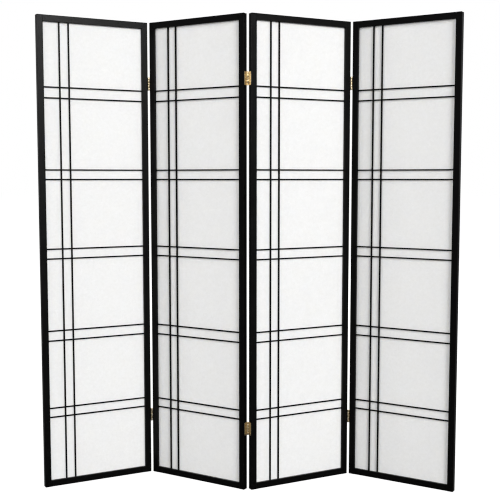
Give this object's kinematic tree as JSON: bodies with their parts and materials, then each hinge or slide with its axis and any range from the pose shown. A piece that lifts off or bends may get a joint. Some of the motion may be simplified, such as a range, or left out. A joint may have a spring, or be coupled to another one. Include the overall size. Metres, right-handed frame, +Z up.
{
  "type": "folding screen",
  "caption": "Free-standing shoji folding screen of hinged panels, each a dark frame with a thin double-line lattice over white paper.",
  "frame": {"origin": "on the floor, under the middle of the standing screen's overall box", "axes": "+Z up the panels; +X to the right along the row of panels as seen from the front; +Y towards the back"},
  "size_m": [1.5706, 0.2338, 1.784],
  "materials": {
    "black_frame": "satin black paint on wood",
    "black_lattice": "satin black paint on wood",
    "white_paper": "matt translucent paper",
    "brass_leaves": "polished",
    "brass_pins": "polished",
    "brass_screws": "plated"
  },
  "bodies": {
    "panel_1": {"panel_1_left_stile": "black_frame", "panel_1_right_stile": "black_frame", "panel_1_top_rail": "black_frame", "panel_1_bottom_rail": "black_frame", "panel_1_front_uprights": "black_lattice", "panel_1_front_crossbars": "black_lattice", "panel_1_back_uprights": "black_lattice", "panel_1_back_crossbars": "black_lattice", "panel_1_paper": "white_paper", "panel_1_screws": "brass_screws", "hinge_1_upper_left_leaf": "brass_leaves", "hinge_1_upper_pin": "brass_pins", "hinge_1_lower_left_leaf": "brass_leaves", "hinge_1_lower_pin": "brass_pins"},
    "panel_2": {"panel_2_left_stile": "black_frame", "panel_2_right_stile": "black_frame", "panel_2_top_rail": "black_frame", "panel_2_bottom_rail": "black_frame", "panel_2_front_uprights": "black_lattice", "panel_2_front_crossbars": "black_lattice", "panel_2_back_uprights": "black_lattice", "panel_2_back_crossbars": "black_lattice", "panel_2_paper": "white_paper", "panel_2_screws": "brass_screws", "hinge_1_upper_right_leaf": "brass_leaves", "hinge_1_lower_right_leaf": "brass_leaves", "hinge_2_upper_left_leaf": "brass_leaves", "hinge_2_upper_pin": "brass_pins", "hinge_2_lower_left_leaf": "brass_leaves", "hinge_2_lower_pin": "brass_pins"},
    "panel_3": {"panel_3_left_stile": "black_frame", "panel_3_right_stile": "black_frame", "panel_3_top_rail": "black_frame", "panel_3_bottom_rail": "black_frame", "panel_3_front_uprights": "black_lattice", "panel_3_front_crossbars": "black_lattice", "panel_3_back_uprights": "black_lattice", "panel_3_back_crossbars": "black_lattice", "panel_3_paper": "white_paper", "panel_3_screws": "brass_screws", "hinge_2_upper_right_leaf": "brass_leaves", "hinge_2_lower_right_leaf": "brass_leaves", "hinge_3_upper_left_leaf": "brass_leaves", "hinge_3_upper_pin": "brass_pins", "hinge_3_lower_left_leaf": "brass_leaves", "hinge_3_lower_pin": "brass_pins"},
    "panel_4": {"panel_4_left_stile": "black_frame", "panel_4_right_stile": "black_frame", "panel_4_top_rail": "black_frame", "panel_4_bottom_rail": "black_frame", "panel_4_front_uprights": "black_lattice", "panel_4_front_crossbars": "black_lattice", "panel_4_back_uprights": "black_lattice", "panel_4_back_crossbars": "black_lattice", "panel_4_paper": "white_paper", "panel_4_screws": "brass_screws", "hinge_3_upper_right_leaf": "brass_leaves", "hinge_3_lower_right_leaf": "brass_leaves"}
  },
  "joints": [
    {"name": "fold_1", "type": "hinge", "parent": "panel_2", "child": "panel_1", "pos_m": [-0.39469, 0.09979, 0.892], "axis": [0, 0, 1], "range_deg": [-60, 120]},
    {"name": "fold_2", "type": "hinge", "parent": "panel_2", "child": "panel_3", "pos_m": [0, -0.09979, 0.892], "axis": [0, 0, 1], "range_deg": [-60, 120]},
    {"name": "fold_3", "type": "hinge", "parent": "panel_3", "child": "panel_4", "pos_m": [0.39469, 0.09979, 0.892], "axis": [0, 0, -1], "range_deg": [-60, 120]}
  ]
}
